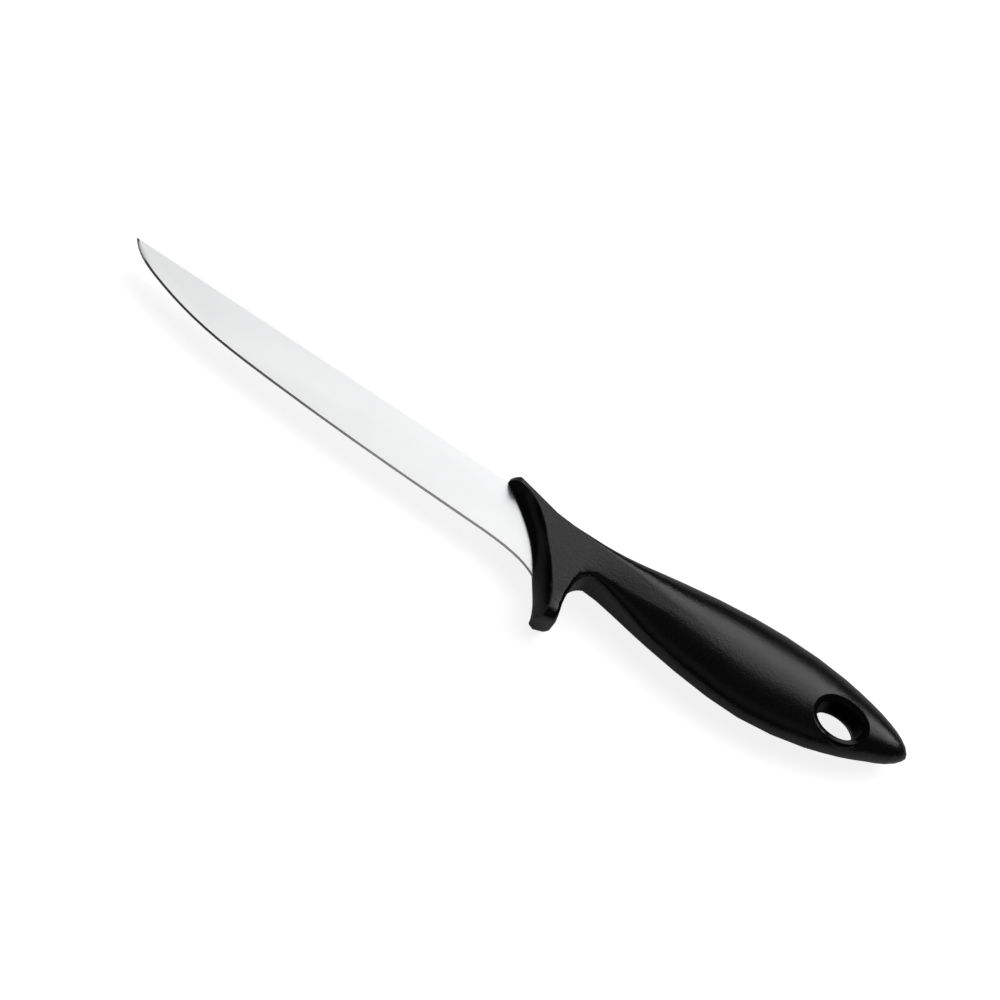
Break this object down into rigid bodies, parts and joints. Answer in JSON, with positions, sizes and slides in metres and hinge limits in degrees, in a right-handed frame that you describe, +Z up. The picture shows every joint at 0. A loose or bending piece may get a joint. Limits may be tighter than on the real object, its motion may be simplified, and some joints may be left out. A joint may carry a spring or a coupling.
{
  "type": "fillet knife",
  "caption": "Flexible narrow fillet knife: stainless blade in a black two-shot moulded handle with a deep finger guard, a swelling grip and an oval hanging hole",
  "frame": {"origin": "under the middle of the bounding box, on the surface that the knife lies on", "axes": "+X from the blade's tip to the butt of the handle, +Y from the cutting edge to the spine, +Z up, square to the blade's flat"},
  "size_m": [0.322, 0.0478, 0.019],
  "materials": {
    "blade_steel": "fine satin ground stainless steel with a sharpened bevel",
    "core_plastic": "smooth black moulded plastic",
    "grip_plastic": "black moulded grip with a fine spark-eroded grain"
  },
  "bodies": {
    "root": {"blade": "blade_steel", "handle_core": "core_plastic", "handle_grip": "grip_plastic"}
  },
  "joints": []
}
